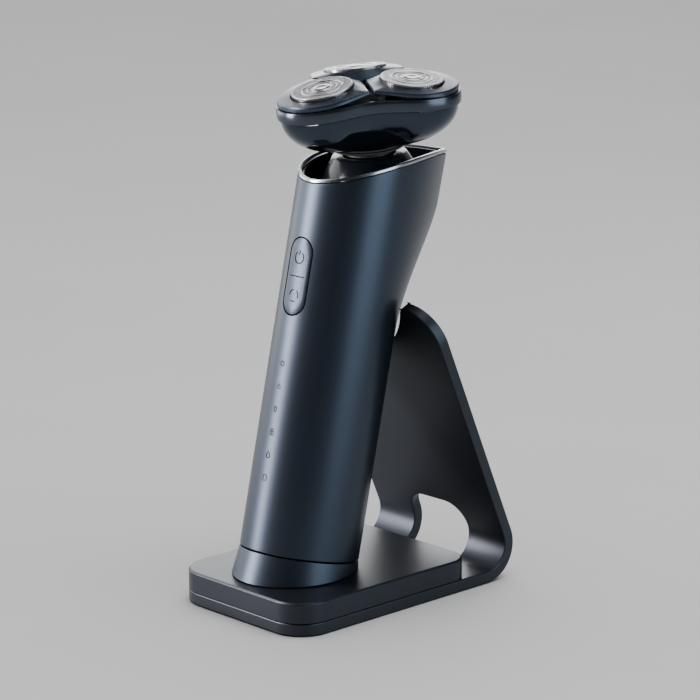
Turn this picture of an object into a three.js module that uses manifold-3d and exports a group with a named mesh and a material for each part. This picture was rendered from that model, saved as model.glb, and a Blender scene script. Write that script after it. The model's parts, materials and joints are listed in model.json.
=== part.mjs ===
// Rotary electric shaver leaning in its charging stand, as an assembly of separate pieces.
// Millimetres, +Z up, the shaver's front towards -Y, X = 0 its plane of symmetry.
// The origin is the middle of the stand's footprint, on the surface that it stands on.
import * as THREE from 'three';
import { mergeVertices } from 'three/addons/utils/BufferGeometryUtils.js';
import Module from 'manifold-3d';

const wasm = await Module();
wasm.setup();

// ---------- driving dimensions ----------
const GAP = 0.3;                 // air between neighbouring pieces
const deg = THREE.MathUtils.degToRad;

// stand
const WIDTH = 62;                // across the plate and the charging block
const LENGTH = 100.5;            // front edge to the back of the bend
const PLATE = 4;                 // plate thickness
const PAD_PROUD = 0.4;           // the foot pad stands this far below the plate
const BEND_R = 12;               // outer radius of the bend
const STRUT_LEAN = deg(23.9);    // the strut leans forward from the vertical
const STRUT = 91.3;              // straight part of the strut
const STRUT_CORNER = 13.5;       // rounding of its two horns
const FRONT_CORNER = 11.6;       // plan rounding of the front corners
const CUTOUT_HALF = 13.2;        // cable cut-out through the bend, half width
const CUTOUT_RISE = 8.2;         // how far the cut-out climbs up the strut
const CUTOUT_R = 8;
const BLOCK_LENGTH = 80.5;
const BLOCK_TOP = 11.6;
const BLOCK_CORNER = 9;          // plan rounding of the block's rear corners
const BLOCK_WALL = 2;

// handle: an oval sleeve, local axes X, V (to the rear) and H (along its axis, 0 at the seam)
const LEAN = deg(12.5);          // the handle leans back from the vertical
const SEAM_Y = -21.56;           // where the axis crosses the seam
const SEAM_Z = 17.9;
const HALF_WIDTH = 18.9;
const FRONT = 21.3;              // axis to the front
const REAR = 21.3;               // axis to the back, below the flare
const PROW = 38.4;               // axis to the rear point of the rim
const FLARE_FROM = 76;           // the back flares between these heights
const FLARE_TO = 126;
const PROW_PINCH = 0.5;          // how far the sides draw in towards the prow
const WALL = 1.2;
const RIM_H = 133.75;            // the rim is a curve: RIM_H + RIM_SLOPE v - RIM_SAG v v
const RIM_SLOPE = 0.345;
const RIM_SAG = 0.0046;
const TRIM = 1.1;                // height of the bright rim ring
const TRIM_GAP = 0.4;
const KEY_H = 91.9;              // middle of the rocker key
const KEY_HALF_LENGTH = 12.8;
const KEY_HALF_WIDTH = 5;
const KEY_GAP = 0.4;
const COLLAR_SPLAY = 0.13;       // the collar widens this much for each millimetre down
const PIN_X = 5;                 // charging contacts stand this far each side

// head, local Z along its axis, 0 in the plane of the foil guards
const HEAD_Y = 7.75;
const HEAD_Z = 174.95;
const HEAD_TILT = deg(6.7);      // leans forward from the vertical
const HEAD_YAW = deg(-5.1);       // the head stands a little turned on its neck
const POD_RADIUS = 17.25;         // head axis to the middle of a cutter pod
const POD_TILT = deg(8.5);       // each pod slopes outwards
const FOIL_R = 10.4;
const HEAD_MEAN_R = 28;          // outline: HEAD_MEAN_R + HEAD_LOBE_R cos 3a
const HEAD_LOBE_R = 5.1;
const LOBE_WAVE = 1.6;           // the band climbs this far between the lobes
const POD_R = 15.2;              // each pod is round outside, with two corners and a tip inside
const POD_ROUND = deg(88);       // the round part ends this far from the outward direction
const POD_CORNER = 18.5;         // head axis to a corner, along the Y-shaped gap
const POD_GAP = 0.8;             // half of the Y-shaped gap
const POD_FOOT = -4.6;
const POD_SKIRT = 1.5;
const POD_CLIMB = 2.9;           // a pod's lower edge climbs this far to its corners
const TIP_CLIMB = 0.85;          // its tip's share of that climb
const RIDGE_CLIMB = 0.83;        // the share for the ridge over the skirt
const POD_TOP = -0.9;            // middle of the top face, under the foil's plane
const POD_FACE_R = 10.95;        // the top face is a narrow round rim
const SIDE_STEPS = 5;
const BAND_TOP = -5;
const BAND_FOOT = -8.95;
const FRAME_FOOT = -8.1;         // the plate inside the band that carries the pods
const BOWL_TOP = -9.25;
const BOWL_DROP = 12.7;
const BOWL_INSET = 1.1;
const NECK_R = 12;
const PIVOT = -23.25;            // height of the head's gimbal centre
const POD_NAMES = ['front', 'right', 'left'];
const POD_ANGLES = [-90, 30, 150].map(deg);

// drive
const MODULE = 0.65;
const SUN_TEETH = 26;
const PLANET_TEETH = 24;
const GEAR_FOOT = -15.6;
const GEAR_THICK = 2;
const GEAR_RADIUS = (MODULE * (SUN_TEETH + PLANET_TEETH)) / 2;

// ---------- solids ----------
function toSolid(geometry) {
  const bare = geometry.clone();
  bare.deleteAttribute('normal');
  bare.deleteAttribute('uv');
  const merged = mergeVertices(bare, 1e-4);
  const corners = merged.index.array;
  const kept = [];
  for (let i = 0; i < corners.length; i += 3) {
    const [a, b, c] = [corners[i], corners[i + 1], corners[i + 2]];
    if (a !== b && b !== c && c !== a) kept.push(a, b, c);
  }
  return new wasm.Manifold(new wasm.Mesh({
    numProp: 3,
    vertProperties: new Float32Array(merged.attributes.position.array),
    triVerts: new Uint32Array(kept),
  }));
}

function toGeometry(solid) {
  const mesh = solid.getMesh();
  const geometry = new THREE.BufferGeometry();
  geometry.setAttribute('position', new THREE.BufferAttribute(new Float32Array(mesh.vertProperties), 3));
  geometry.setIndex(new THREE.BufferAttribute(new Uint32Array(mesh.triVerts), 1));
  geometry.computeVertexNormals();
  return geometry;
}

function cut(geometry, ...tools) {
  let solid = toSolid(geometry);
  for (const tool of tools) solid = solid.subtract(toSolid(tool));
  return toGeometry(solid);
}

function join(first, ...others) {
  let solid = toSolid(first);
  for (const other of others) solid = solid.add(toSolid(other));
  return toGeometry(solid);
}

function common(first, second) {
  return toGeometry(toSolid(first).intersect(toSolid(second)));
}

function outward(geometry) {
  const p = geometry.attributes.position;
  const index = geometry.index;
  const [a, b, c] = [new THREE.Vector3(), new THREE.Vector3(), new THREE.Vector3()];
  let volume = 0;
  for (let i = 0; i < index.count; i += 3) {
    a.fromBufferAttribute(p, index.getX(i));
    b.fromBufferAttribute(p, index.getX(i + 1));
    c.fromBufferAttribute(p, index.getX(i + 2));
    volume += a.dot(b.cross(c));
  }
  if (volume < 0) {
    for (let i = 0; i < index.count; i += 3) {
      const swap = index.getX(i + 1);
      index.setX(i + 1, index.getX(i + 2));
      index.setX(i + 2, swap);
    }
  }
  return geometry;
}

// ---------- shapes ----------
// A skin over rings of points. An open stack is capped at both ends; a looped one closes on itself.
function loft(rings, looped = false) {
  const count = rings[0].length;
  const points = rings.flat();
  const faces = [];
  const bands = looped ? rings.length : rings.length - 1;
  for (let k = 0; k < bands; k++) {
    const low = k * count;
    const high = ((k + 1) % rings.length) * count;
    for (let i = 0; i < count; i++) {
      const j = (i + 1) % count;
      faces.push(low + i, low + j, high + j, low + i, high + j, high + i);
    }
  }
  if (!looped) {
    const ends = [[rings[0], 0, true], [rings.at(-1), (rings.length - 1) * count, false]];
    for (const [ring, start, flip] of ends) {
      const middle = ring.reduce((sum, p) => sum.add(p), new THREE.Vector3()).divideScalar(count);
      const hub = points.push(middle) - 1;
      for (let i = 0; i < count; i++) {
        const j = (i + 1) % count;
        faces.push(hub, start + (flip ? j : i), start + (flip ? i : j));
      }
    }
  }
  const geometry = new THREE.BufferGeometry().setFromPoints(points);
  geometry.setIndex(faces);
  return outward(geometry);
}

function box(x0, x1, y0, y1, z0, z1) {
  const geometry = new THREE.BoxGeometry(x1 - x0, y1 - y0, z1 - z0);
  return geometry.translate((x0 + x1) / 2, (y0 + y1) / 2, (z0 + z1) / 2);
}

function rod(radius, z0, z1, x = 0, y = 0, sides = 24) {
  const geometry = new THREE.CylinderGeometry(radius, radius, z1 - z0, sides);
  return geometry.rotateX(Math.PI / 2).translate(x, y, (z0 + z1) / 2);
}

function rodAlong(axis, radius, from, to, height, sides = 10) {
  const geometry = new THREE.CylinderGeometry(radius, radius, to - from, sides);
  if (axis === 'x') geometry.rotateZ(Math.PI / 2).translate((from + to) / 2, 0, height);
  else geometry.translate(0, (from + to) / 2, height);
  return geometry;
}

// A turned piece: [radius, height] pairs around Z.
function turned(profile, segments = 32) {
  const points = profile.map(([r, z]) => new THREE.Vector2(r, z));
  const geometry = new THREE.LatheGeometry(points, segments);
  return toGeometry(toSolid(outward(mergeClean(geometry.rotateX(Math.PI / 2)))));
}

function ring(inner, outer, z0, z1, segments = 32) {
  return turned([[inner, z0], [outer, z0], [outer, z1], [inner, z1], [inner, z0]], segments);
}

function mergeClean(geometry) {
  const bare = geometry.clone();
  bare.deleteAttribute('normal');
  bare.deleteAttribute('uv');
  const merged = mergeVertices(bare, 1e-4);
  const kept = [];
  for (let i = 0; i < merged.index.count; i += 3) {
    const [a, b, c] = [0, 1, 2].map((k) => merged.index.getX(i + k));
    if (a !== b && b !== c && c !== a) kept.push(a, b, c);
  }
  merged.setIndex(kept);
  return merged;
}

function plan(halfWidth, y0, y1, frontR, rearR) {
  const shape = new THREE.Shape();
  shape.moveTo(-halfWidth + frontR, y0);
  shape.lineTo(halfWidth - frontR, y0);
  shape.absarc(halfWidth - frontR, y0 + frontR, frontR, -Math.PI / 2, 0);
  shape.lineTo(halfWidth, y1 - rearR);
  if (rearR > 0) shape.absarc(halfWidth - rearR, y1 - rearR, rearR, 0, Math.PI / 2);
  shape.lineTo(-halfWidth + rearR, y1);
  if (rearR > 0) shape.absarc(-halfWidth + rearR, y1 - rearR, rearR, Math.PI / 2, Math.PI);
  shape.lineTo(-halfWidth, y0 + frontR);
  shape.absarc(-halfWidth + frontR, y0 + frontR, frontR, Math.PI, Math.PI * 1.5);
  return shape;
}

function prism(shape, z0, z1, curveSegments = 8) {
  const geometry = new THREE.ExtrudeGeometry(shape, { depth: z1 - z0, bevelEnabled: false, curveSegments });
  return geometry.translate(0, 0, z0);
}

const frontEdge = -LENGTH / 2;
const bendY = LENGTH / 2 - BEND_R;
const bendZ = PAD_PROUD + BEND_R;

// ---------- stand ----------
// Lays a drawing in the strut's plane: x across, y up the strut from the end of the bend, z to its back.
function onStrut(geometry) {
  const up = new THREE.Vector3(0, -Math.sin(STRUT_LEAN), Math.cos(STRUT_LEAN));
  const inward = new THREE.Vector3(0, -Math.cos(STRUT_LEAN), -Math.sin(STRUT_LEAN));
  const basis = new THREE.Matrix4().makeBasis(new THREE.Vector3(1, 0, 0), up, inward);
  const r = BEND_R;
  basis.setPosition(0, bendY + r * Math.cos(STRUT_LEAN), bendZ + r * Math.sin(STRUT_LEAN));
  return geometry.applyMatrix4(basis);
}

function bentPlate() {
  const side = new THREE.Shape();
  const inner = BEND_R - PLATE;
  const lean = STRUT_LEAN;
  const along = (r, s) => [
    bendY + r * Math.cos(lean) - s * Math.sin(lean),
    bendZ + r * Math.sin(lean) + s * Math.cos(lean),
  ];
  side.moveTo(frontEdge, PAD_PROUD);
  side.lineTo(bendY, PAD_PROUD);
  side.absarc(bendY, bendZ, BEND_R, -Math.PI / 2, lean);
  side.lineTo(...along(BEND_R, STRUT));
  side.lineTo(...along(inner, STRUT));
  side.absarc(bendY, bendZ, inner, lean, -Math.PI / 2, true);
  side.lineTo(frontEdge, PAD_PROUD + PLATE);
  const geometry = prism(side, -WIDTH / 2, WIDTH / 2, 10);
  const axes = [new THREE.Vector3(0, 1, 0), new THREE.Vector3(0, 0, 1), new THREE.Vector3(1, 0, 0)];
  return geometry.applyMatrix4(new THREE.Matrix4().makeBasis(...axes));
}

function standPlate() {
  const footprint = prism(plan(WIDTH / 2, frontEdge, LENGTH, FRONT_CORNER, 0), -1, BLOCK_TOP + 200);
  const strutFace = new THREE.Shape();
  const half = WIDTH / 2;
  strutFace.moveTo(-half - 1, -80);
  strutFace.lineTo(half + 1, -80);
  strutFace.lineTo(half + 1, 0);
  strutFace.lineTo(half, 0);
  strutFace.absarc(half - STRUT_CORNER, STRUT - STRUT_CORNER, STRUT_CORNER, 0, Math.PI / 2);
  strutFace.absarc(-half + STRUT_CORNER, STRUT - STRUT_CORNER, STRUT_CORNER, Math.PI / 2, Math.PI);
  strutFace.lineTo(-half, 0);
  strutFace.lineTo(-half - 1, 0);
  const strutOutline = onStrut(prism(strutFace, -40, 140, 8));
  const opening = plan(CUTOUT_HALF, -40, CUTOUT_RISE, 0.01, CUTOUT_R);
  const behindBlock = box(-40, 40, bendY - 2.2, LENGTH, -5, 60);
  const cutout = common(onStrut(prism(opening, -8, 16, 6)), behindBlock);
  const shaverPath = inHandle(sleeveSkin(-0.6, [30, FLARE_FROM, 84, 93, 103]));
  const padSeat = prism(plan(WIDTH / 2 - 2.5, frontEdge + 2.5, bendY - 6, FRONT_CORNER - 2.5, 3), -1, 1.2);
  const plate = common(common(bentPlate(), footprint), strutOutline);
  const screws = screwSpots().map(([x, y]) => join(rod(1.5, -1, 9, x, y, 12), rod(2.8, -1, 2.9, x, y, 12)));
  return cut(plate, cutout, shaverPath, padSeat, ...screws);
}

function footPad() {
  const inset = 2.5 + GAP;
  const shape = plan(WIDTH / 2 - inset, frontEdge + inset, bendY - 6 - GAP, FRONT_CORNER - inset, 3);
  const screws = screwSpots().map(([x, y]) => rod(2.8, -1, 5, x, y, 12));
  return cut(prism(shape, 0, 0.9, 6), ...screws);
}

function screwSpots() {
  const spots = [];
  for (const x of [-22, 22]) spots.push([x, frontEdge + 14], [x, frontEdge + BLOCK_LENGTH - 10]);
  return spots;
}

const blockFoot = PAD_PROUD + PLATE + GAP;
const blockRear = frontEdge + BLOCK_LENGTH;

function chargingBlock() {
  const outline = plan(WIDTH / 2, frontEdge, blockRear, FRONT_CORNER, BLOCK_CORNER);
  const wall = BLOCK_WALL;
  const inside = plan(WIDTH / 2 - wall, frontEdge + wall, blockRear - wall, FRONT_CORNER - wall, 2);
  const bosses = screwSpots().map(([x, y]) => {
    return cut(rod(3, blockFoot, BLOCK_TOP - 1, x, y, 12), rod(1.2, 0, 9.6, x, y, 12));
  });
  const shell = cut(prism(outline, blockFoot, BLOCK_TOP), prism(inside, 0, BLOCK_TOP - wall));
  const carrierHole = inHandle(box(-9.3, 9.3, -4.3, 4.3, -30, 5));
  const socketHole = box(-4.9, 4.9, blockRear - 5, blockRear + 5, 5.7, 9.5);
  return cut(join(shell, ...bosses), carrierHole, socketHole);
}

function screwGroup(x, y) {
  return join(rod(2.3, 1.4, 2.6, x, y, 12), rod(1.0, 2.4, 9.2, x, y, 12));
}

function chargingBoard() {
  const board = prism(plan(17, frontEdge + 26, blockRear - 8, 2, 2), 5.2, 6.2, 3);
  return cut(board, inHandle(box(-9.6, 9.6, -4.6, 4.6, -30, 5)));
}

// ---------- handle ----------
function flare(h) {
  return THREE.MathUtils.smoothstep(h, FLARE_FROM, FLARE_TO);
}

// A point of the handle's oval section: the front is an ellipse, the back grows into a pointed prow.
function sectionPoint(angle, h, inset) {
  const t = flare(h);
  const [c, s] = [Math.cos(angle), Math.sin(angle)];
  const half = HALF_WIDTH - inset;
  if (s <= 0) return [half * c, (FRONT - inset) * s];
  const pinch = PROW_PINCH * t;
  const reach = THREE.MathUtils.lerp(REAR, PROW, t) - inset * (1 + 0.4 * t);
  return [half * (c * (1 - pinch) + c ** 3 * pinch), reach * s];
}

function rimHeight(v) {
  return RIM_H + RIM_SLOPE * v - RIM_SAG * v * v;
}

const SECTION_STEPS = 36;
const sectionAngles = Array.from({ length: SECTION_STEPS }, (_, i) => (i / SECTION_STEPS) * Math.PI * 2);

function levelRing(h, inset) {
  return sectionAngles.map((a) => {
    const [x, v] = sectionPoint(a, h, inset);
    return new THREE.Vector3(x, v, h);
  });
}

// A ring that follows the curved rim, dropped by a given amount.
function rimRing(drop, inset) {
  return sectionAngles.map((a) => {
    const [x, v] = sectionPoint(a, FLARE_TO, inset);
    const [, vOuter] = sectionPoint(a, FLARE_TO, 0);
    return new THREE.Vector3(x, v, rimHeight(vOuter) - drop);
  });
}

function sleeveSkin(inset, heights) {
  return loft(heights.map((h) => levelRing(h, inset)));
}

const FLARE_STEPS = [FLARE_FROM, 84, 91, 98, 105, 112, 121.5];

function inHandle(geometry) {
  return geometry.rotateX(-LEAN).translate(0, SEAM_Y, SEAM_Z);
}

function pill(extra, v0, v1) {
  const r = KEY_HALF_WIDTH + extra;
  const reach = KEY_HALF_LENGTH - KEY_HALF_WIDTH;
  const shape = new THREE.Shape();
  shape.absarc(0, reach, r, 0, Math.PI);
  shape.absarc(0, -reach, r, Math.PI, Math.PI * 2);
  return prism(shape, -v1, -v0, 10).rotateX(Math.PI / 2).translate(0, 0, KEY_H);
}

function sleeveShell() {
  const drop = TRIM + TRIM_GAP;
  const outer = [0, ...FLARE_STEPS].map((h) => levelRing(h, 0));
  const inner = [0, ...FLARE_STEPS].map((h) => levelRing(h, WALL)).reverse();
  return loft([...outer, rimRing(drop, 0), rimRing(drop, WALL), ...inner], true);
}

function handleSleeve() {
  return cut(sleeveShell(), pill(KEY_GAP, -30, -10));
}

function rockerKey() {
  const plate = common(sleeveShell(), pill(0, -30, -10));
  const pivot = box(-3.5, 3.5, -20.3, -18.6, KEY_H - 1.2, KEY_H + 1.2);
  const stems = [-8, 8].map((dh) => box(-1, 1, -20.3, -18.5, KEY_H + dh - 1, KEY_H + dh + 1));
  return join(plate, pivot, ...stems);
}

function rimTrim() {
  return loft([rimRing(TRIM, 0), rimRing(0, 0), rimRing(0, WALL), rimRing(TRIM, WALL)], true);
}

function circleRing(radius, centreV, h) {
  return sectionAngles.map((a) => new THREE.Vector3(radius * Math.cos(a), centreV + radius * Math.sin(a), h));
}

// Where the gimbal centre lies in the handle's axes.
const pivotY = HEAD_Y - PIVOT * Math.sin(HEAD_TILT) - SEAM_Y;
const pivotZ = HEAD_Z + PIVOT * Math.cos(HEAD_TILT) - SEAM_Z;
const PIVOT_V = pivotY * Math.cos(LEAN) - pivotZ * Math.sin(LEAN);
const PIVOT_H = pivotY * Math.sin(LEAN) + pivotZ * Math.cos(LEAN);
const POST_V = 5.2;              // the neck post leans back below the pivot

function topDeck() {
  const inset = WALL + 0.45;
  const rings = [
    rimRing(8, inset), rimRing(1.2, inset), rimRing(1.2, inset + 0.9), rimRing(5.5, inset + 2.4),
    circleRing(7.5, POST_V, 128.4), circleRing(7.5, POST_V, 126.8),
  ];
  return loft(rings, true);
}

function bottomCap() {
  const inset = WALL + GAP;
  const cap = sleeveSkin(inset, [0, 4]);
  const wells = [-PIN_X, PIN_X].map((x) => rod(2.6, -1, 0.5, x, 0, 16));
  const pads = [-PIN_X, PIN_X].map((x) => rod(2.3, 0, 5, x, 0, 16));
  return cut(cap, ...wells, ...pads);
}

function contactPad(x) {
  return rod(2, 0.6, 4.6, x, 0, 16);
}

function capSeal() {
  const outer = levelRing(4.4, WALL + GAP);
  const rings = [outer, levelRing(5.8, WALL + GAP), levelRing(5.8, WALL + 1.8), levelRing(4.4, WALL + 1.8)];
  return loft(rings, true);
}

function chassis() {
  const plate = box(-12.8, 12.8, -7.4, -5.8, 8, 80);
  const rails = [-12.05, 12.05].map((x) => box(x - 0.75, x + 0.75, -7.4, 8, 8, 80));
  const foot = box(-12.8, 12.8, -7.4, 8, 6.6, 8.2);
  return join(plate, ...rails, foot);
}

function motorCan() {
  const can = rod(9.6, 84, 110, 0, PIVOT_V, 32);
  const boss = rod(3, 109.9, 111.5, 0, PIVOT_V, 20);
  return cut(join(can, boss), rod(1.5, 100, 120, 0, PIVOT_V, 16));
}

function motorMount() {
  const flange = cut(rod(14.5, 112.2, 114.4, 0, PIVOT_V, 32), rod(4, 110, 120, 0, PIVOT_V, 20));
  const posts = [-11.9, 11.9].map((x) => box(x - 1.2, x + 1.2, PIVOT_V - 3, PIVOT_V + 3, 82, 112.4));
  return join(flange, ...posts);
}

function driveShaft() {
  const shaft = rod(1.1, 101, PIVOT_H - 1, 0, PIVOT_V, 16);
  const ball = new THREE.SphereGeometry(1.7, 12, 8).translate(0, PIVOT_V, PIVOT_H - 0.6);
  return join(shaft, ball);
}

// ---------- head ----------
function lobeRadius(angle) {
  return HEAD_MEAN_R + HEAD_LOBE_R * Math.cos(3 * (angle + Math.PI / 2));
}

const HEAD_STEPS = 48;
const headAngles = Array.from({ length: HEAD_STEPS }, (_, i) => (i / HEAD_STEPS) * Math.PI * 2);

// 0 on a lobe's middle, 1 halfway between two lobes.
function betweenLobes(angle) {
  return (1 - Math.cos(3 * (angle + Math.PI / 2))) / 2;
}

function headRing(z, inset, wave = 0) {
  return headAngles.map((a) => {
    const r = lobeRadius(a) - inset;
    return new THREE.Vector3(r * Math.cos(a), r * Math.sin(a), z + wave * betweenLobes(a));
  });
}

function bowlRing(turn, inset) {
  const t = deg(turn);
  return headAngles.map((a) => {
    const reach = lobeRadius(a) - BOWL_INSET - NECK_R - inset;
    const r = NECK_R + reach * Math.cos(t) - inset * 0.3;
    const climb = LOBE_WAVE * betweenLobes(a) * Math.cos(t);
    const z = BOWL_TOP + climb - (BOWL_DROP - inset) * Math.sin(t);
    return new THREE.Vector3(r * Math.cos(a), r * Math.sin(a), z);
  });
}

function neckCircle(radius, z) {
  return headAngles.map((a) => new THREE.Vector3(radius * Math.cos(a), radius * Math.sin(a), z));
}

function headBand() {
  const edge = (z, inset) => headRing(z, inset, LOBE_WAVE);
  return loft([edge(BAND_FOOT, 0), edge(BAND_TOP, 0), edge(BAND_TOP, 1.4), edge(BAND_FOOT, 1.4)], true);
}

function headBowl() {
  const turns = [86, 60, 35, 12, 0];
  const outer = turns.map((t) => bowlRing(t, 0));
  const inner = [...turns].reverse().map((t) => bowlRing(t, 1.3));
  const mouth = [neckCircle(8.6, BOWL_TOP - BOWL_DROP + 1.3), neckCircle(8.6, BOWL_TOP - BOWL_DROP)];
  return loft([...outer, ...inner, ...mouth], true);
}

// One pod's outline, in axes that point outwards from the head, with each point's share of the climb:
// a round outside, and inside two straight sides along the gaps, which meet near the head's axis.
function podOutline() {
  const round = [];
  const steps = 20;
  for (let i = 0; i <= steps; i++) {
    const a = -POD_ROUND + (2 * POD_ROUND * i) / steps;
    const [x, y] = [POD_RADIUS + POD_R * Math.cos(a), POD_R * Math.sin(a)];
    round.push([x, y, betweenLobes(Math.atan2(y, x) - Math.PI / 2) ** 1.5]);
  }
  const [c, s] = [Math.cos(Math.PI / 3), Math.sin(Math.PI / 3)];
  const side = [];
  for (let i = 0; i <= SIDE_STEPS; i++) {
    const along = THREE.MathUtils.lerp(POD_CORNER, (POD_GAP * c) / s, i / SIDE_STEPS);
    const climb = THREE.MathUtils.lerp(1, TIP_CLIMB, i / SIDE_STEPS);
    side.push([along * c + POD_GAP * s, along * s - POD_GAP * c, climb]);
  }
  const mirrored = side.slice(0, -1).reverse().map(([x, y, climb]) => [x, -y, climb]);
  return [...round, ...side, ...mirrored];
}

// A level of the pod, from the outline (share 0) to the round rim of the top face (share 1).
function podRing(share, scale, zOf) {
  return podOutline().map(([x, y, climb]) => {
    const out = new THREE.Vector2(x - POD_RADIUS, y);
    const rim = out.clone().setLength(POD_FACE_R);
    out.lerp(rim, share).multiplyScalar(scale);
    const px = POD_RADIUS + out.x;
    return new THREE.Vector3(px, out.y, zOf(px, climb));
  });
}

function podTop(px) {
  return POD_TOP - (px - POD_RADIUS) * Math.tan(POD_TILT);
}

function podBody() {
  const edge = (scale, extra, share) => {
    return podRing(0, scale, (px, climb) => POD_FOOT + extra + POD_CLIMB * share * climb);
  };
  const top = (scale, drop) => podRing(1, scale, (px) => podTop(px) - drop);
  const skin = loft([edge(1, 0, 1), edge(1, POD_SKIRT, RIDGE_CLIMB), top(1, 0)]);
  const hollow = loft([edge(0.9, -3, 1), edge(0.9, POD_SKIRT - 0.6, RIDGE_CLIMB), top(0.92, 1.2)]);
  const foilHole = atPodDisc(rod(FOIL_R + 0.45, -8, 6, 0, 0, 28));
  return cut(skin, hollow, foilHole);
}

// Lays a piece in a pod's tilted disc plane, its outline axes still along the head's radius.
function atPodDisc(geometry) {
  return geometry.rotateY(POD_TILT).translate(POD_RADIUS, 0, 0);
}

function foilGuard() {
  const profile = [
    [0, -0.9], [8.9, -0.9], [9.6, -2.6], [FOIL_R, -2.6], [FOIL_R, -0.8], [FOIL_R - 0.6, 0],
    [3.6, 0], [3.2, 0.35], [0, 0.35],
  ];
  return atPodDisc(turned(profile, 28));
}

function cutterDisc() {
  const profile = [
    [1.9, -4], [1.9, -7.2], [3.2, -7.2], [3.2, -3.2], [8.3, -3.2], [8.3, -1.3],
    [6.2, -1.3], [6.2, -2.2], [0, -2.2], [0, -4], [1.9, -4],
  ];
  return atPodDisc(turned(profile, 20));
}

function gearShape(teeth) {
  const pitch = (MODULE * teeth) / 2;
  const shape = new THREE.Shape();
  const step = (Math.PI * 2) / teeth;
  const corners = [[-0.34, -1.15], [-0.15, 0.85], [0.15, 0.85], [0.34, -1.15]];
  for (let i = 0; i < teeth; i++) {
    for (const [turn, height] of corners) {
      const r = pitch + height * MODULE;
      const a = (i + turn) * step;
      if (i === 0 && turn === corners[0][0]) shape.moveTo(r * Math.cos(a), r * Math.sin(a));
      else shape.lineTo(r * Math.cos(a), r * Math.sin(a));
    }
  }
  return shape;
}

function sunGear() {
  const wheel = prism(gearShape(SUN_TEETH), GEAR_FOOT, GEAR_FOOT + GEAR_THICK, 1);
  const stem = rod(2.6, PIVOT + 2.4, GEAR_FOOT + 0.5, 0, 0, 20);
  return join(wheel, stem);
}

function planetGear(angle) {
  const toothPitch = (Math.PI * 2) / PLANET_TEETH;
  const sunPhase = ((angle / (Math.PI * 2)) * SUN_TEETH) % 1;
  const turn = angle + Math.PI + (0.5 + sunPhase) * toothPitch;
  const wheel = prism(gearShape(PLANET_TEETH), GEAR_FOOT, GEAR_FOOT + GEAR_THICK, 1).rotateZ(turn);
  const spindle = rod(1, GEAR_FOOT - 1, -6.2, 0, 0, 10);
  return join(wheel, spindle);
}

function gearPlate() {
  const plate = loft([headRing(-13.2, 5.6), headRing(-12.4, 5.6)]);
  const holes = POD_ANGLES.map((a) => {
    return rod(1.5, -20, 0, GEAR_RADIUS * Math.cos(a), GEAR_RADIUS * Math.sin(a), 12);
  });
  return cut(plate, ...holes);
}

function innerFrame() {
  const frame = loft([headRing(FRAME_FOOT, 1.8, LOBE_WAVE), headRing(FRAME_FOOT + 1, 1.8, LOBE_WAVE)]);
  const holes = POD_ANGLES.map((a) => {
    return rod(9.5, -20, 0, POD_RADIUS * Math.cos(a), POD_RADIUS * Math.sin(a), 28);
  });
  return cut(frame, ...holes);
}

// The gimbal: the post carries the ring on an X axle, and the ring carries the neck ring on a Y axle.
const NECK_LOW = -0.5;           // the neck ring's edges, from the gimbal centre
const NECK_HIGH = 1;
const AXLE_R = 0.4;
const AXLE_HOLE = 0.65;

function neckRing() {
  const [low, high] = [PIVOT + NECK_LOW, PIVOT + NECK_HIGH];
  const profile = [
    [8.4, low], [12.4, low], [12.4, low + 0.8], [NECK_R, low + 1.1], [NECK_R, high], [8.4, high], [8.4, low],
  ];
  const pins = [[-9, -6.9], [6.9, 9]].map(([from, to]) => rodAlong('y', AXLE_R, from, to, PIVOT));
  return join(turned(profile, 32), ...pins);
}

function gimbalRing() {
  const hoop = ring(6.2, 7.9, PIVOT - 2.4, PIVOT + NECK_HIGH, 24);
  const holes = rodAlong('y', AXLE_HOLE, -12, 12, PIVOT);
  const pins = [[-6.6, -4.7], [4.7, 6.6]].map(([from, to]) => rodAlong('x', AXLE_R, from, to, PIVOT));
  return join(cut(hoop, holes), ...pins);
}

function neckPost() {
  const post = ring(4.55, 5.6, PIVOT - 9.2, PIVOT + NECK_HIGH, 24);
  return cut(post, rodAlong('x', AXLE_HOLE, -12, 12, PIVOT));
}

// ---------- cradle collar ----------
function collarRing(h, z, inset) {
  return sectionAngles.map((a) => {
    const [x, v] = sectionPoint(a, 0, inset);
    const top = new THREE.Vector3(x, v, h).applyAxisAngle(new THREE.Vector3(1, 0, 0), -LEAN);
    top.add(new THREE.Vector3(0, SEAM_Y, SEAM_Z));
    if (z === null) return top;
    const drop = (top.z - z) / Math.cos(LEAN);
    const splay = COLLAR_SPLAY * drop;
    const grown = new THREE.Vector3(x * (1 + splay / HALF_WIDTH), v * (1 + splay / FRONT), h - drop);
    grown.applyAxisAngle(new THREE.Vector3(1, 0, 0), -LEAN).add(new THREE.Vector3(0, SEAM_Y, SEAM_Z));
    grown.z = z;
    return grown;
  });
}

function cradleCollar() {
  const foot = BLOCK_TOP + GAP;
  const skin = loft([collarRing(-0.5, foot, 0), collarRing(-0.5, null, 0)]);
  return cut(skin, inHandle(box(-9.3, 9.3, -4.3, 4.3, -30, 5)));
}

function contactCarrier() {
  const body = box(-9, 9, -4, 4, -11, -0.7);
  const bores = [-PIN_X, PIN_X].map((x) => rod(1.3, -8, 2, x, 0, 16));
  const tails = [-PIN_X, PIN_X].map((x) => rod(0.6, -12, -7, x, 0, 8));
  return cut(body, ...bores, ...tails);
}

function contactPin(x) {
  return join(rod(1, -5.5, 0.2, x, 0, 16), rod(0.35, -10, -5.4, x, 0, 8));
}

function inletShell() {
  const outer = box(-4.5, 4.5, blockRear - 7.5, blockRear - 0.2, 6.6, 9.2);
  const inner = box(-4.1, 4.1, blockRear - 6.8, blockRear + 1, 6.95, 8.85);
  return cut(outer, inner);
}

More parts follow.
